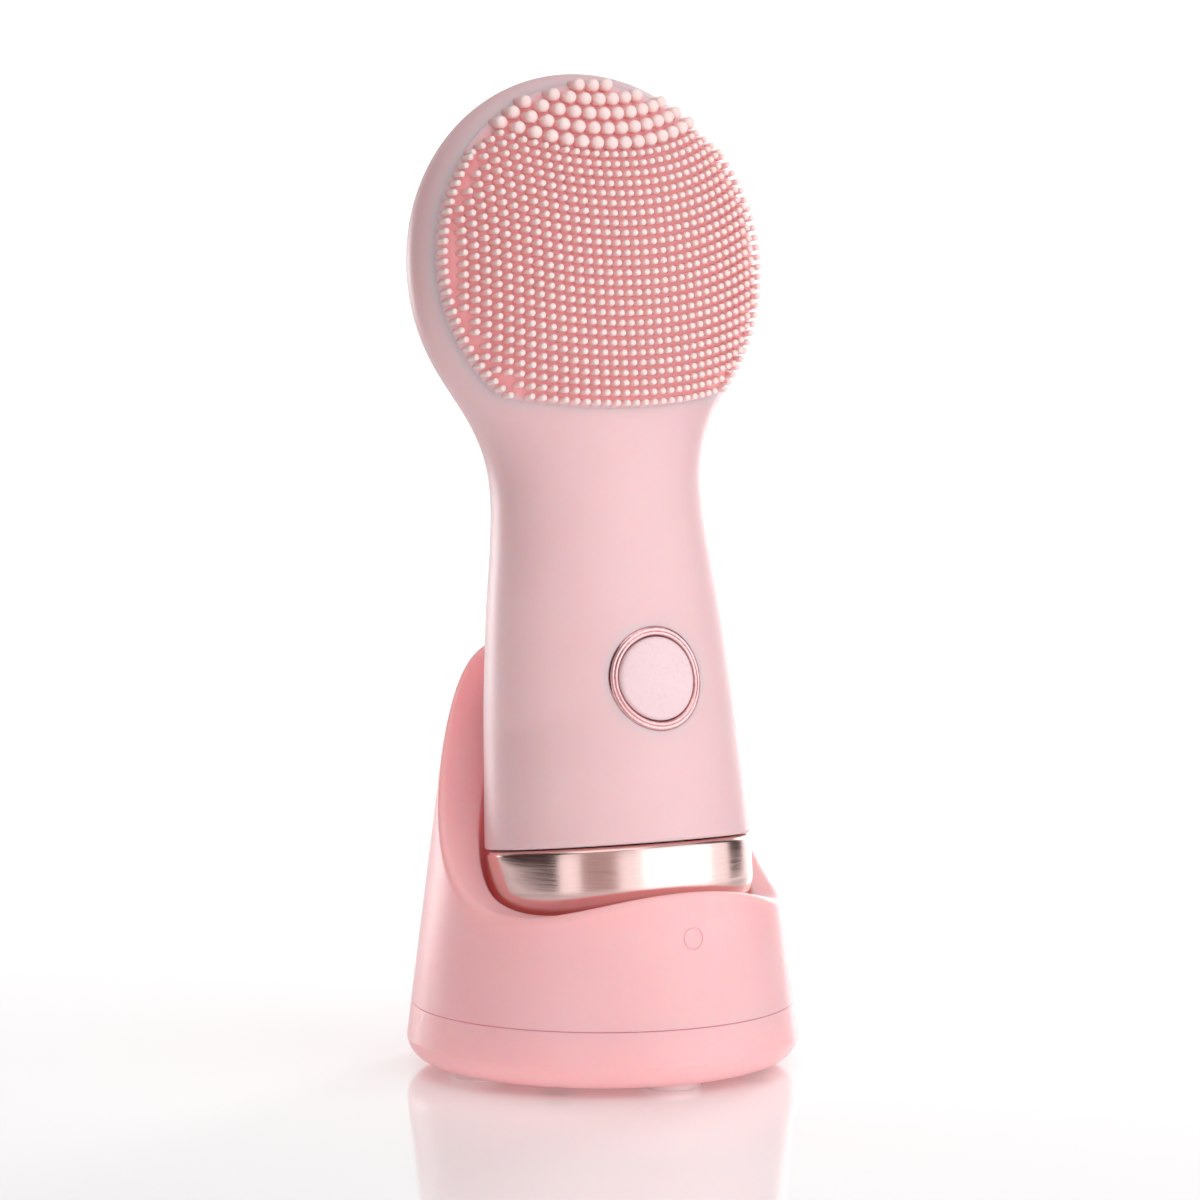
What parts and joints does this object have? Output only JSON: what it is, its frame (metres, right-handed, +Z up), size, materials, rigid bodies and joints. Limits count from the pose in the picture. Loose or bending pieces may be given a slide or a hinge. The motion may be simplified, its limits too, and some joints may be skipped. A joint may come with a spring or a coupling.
{
  "type": "facial cleansing brush",
  "caption": "Cordless facial cleansing brush with a round silicone bristle head and a push button, leaning in a low round charging dock with a scooped rim.",
  "frame": {"origin": "on the surface the dock stands on, at the centre of the dock's round base", "axes": "+Z up, -Y towards the bristle and button side, +X to the right when facing the front from -Y"},
  "size_m": [0.0666, 0.0666, 0.168],
  "materials": {
    "soft_touch": "soft-touch silicone skin over a moulded shell, satin to matte",
    "silicone": "translucent pale pink silicone",
    "pearl_button": "glossy pearl pink",
    "pink_metal": "bright pink metallised ring",
    "rose_gold": "rose gold metallised, satin to bright",
    "dock_plastic": "fine satin moulded plastic, slightly translucent pink",
    "foot_rubber": "pale translucent silicone foot",
    "inner_plastic": "off-white moulded ABS",
    "black_plastic": "black moulded plastic",
    "black_rubber": "black rubber",
    "screw_steel": "zinc-plated steel",
    "motor_steel": "plain drawn steel",
    "weight_brass": "machined brass",
    "gold_plate": "gold-plated brass",
    "socket_steel": "stamped stainless steel",
    "ballast_steel": "plain steel plate",
    "board_green": "green solder mask",
    "battery_wrap": "blue shrink wrap",
    "lead_red": "red insulated wire"
  },
  "bodies": {
    "dock": {"dock_shell": "dock_plastic", "dock_base": "dock_plastic", "feet": "foot_rubber", "dock_screws": "screw_steel", "ballast_plate": "ballast_steel", "dock_board": "board_green", "dock_components": "black_plastic", "usb_socket": "socket_steel", "pin_block": "black_plastic", "pin_barrels": "gold_plate", "dock_leads": "lead_red"},
    "handset": {"body_shell": "soft_touch", "bristle_pad": "silicone", "pad_carrier": "inner_plastic", "carrier_screws": "screw_steel", "motor_clamp": "inner_plastic", "clamp_screws": "screw_steel", "motor_sleeve": "black_rubber", "motor_can": "motor_steel", "motor_end_cap": "inner_plastic", "button_bezel": "pink_metal", "button_seal": "silicone", "tact_switch": "black_plastic", "main_board": "board_green", "board_components": "black_plastic", "inner_chassis": "inner_plastic", "battery": "battery_wrap", "battery_leads": "lead_red", "motor_leads": "lead_red", "chassis_screws": "screw_steel", "metal_band": "rose_gold", "bottom_cap": "dock_plastic", "cap_screws": "screw_steel", "bottom_seal": "black_rubber", "charge_contacts": "gold_plate"},
    "button": {"button_cap": "pearl_button", "switch_plunger": "black_plastic"},
    "pin_left": {"charge_pin_left": "gold_plate"},
    "pin_right": {"charge_pin_right": "gold_plate"},
    "rotor": {"motor_shaft": "motor_steel", "eccentric_weight": "weight_brass"}
  },
  "joints": [
    {"name": "handset_lift", "type": "slide", "parent": "dock", "child": "handset", "axis": [0, 0.1253, 0.9921], "range_m": [0, 0.075]},
    {"name": "button_press", "type": "slide", "parent": "handset", "child": "button", "axis": [0, 0.9921, -0.1253], "range_m": [0, 0.0004], "stiffness_N_per_m": 2500},
    {"name": "motor_spin", "type": "hinge", "parent": "handset", "child": "rotor", "pos_m": [0, 0.00678, 0.13543], "axis": [1, 0, 0], "continuous": true},
    {"name": "pin_left_press", "type": "slide", "parent": "dock", "child": "pin_left", "axis": [0, -0.1253, -0.9921], "range_m": [0, 0.0008], "stiffness_N_per_m": 700},
    {"name": "pin_right_press", "type": "slide", "parent": "dock", "child": "pin_right", "axis": [0, -0.1253, -0.9921], "range_m": [0, 0.0008], "stiffness_N_per_m": 700}
  ]
}
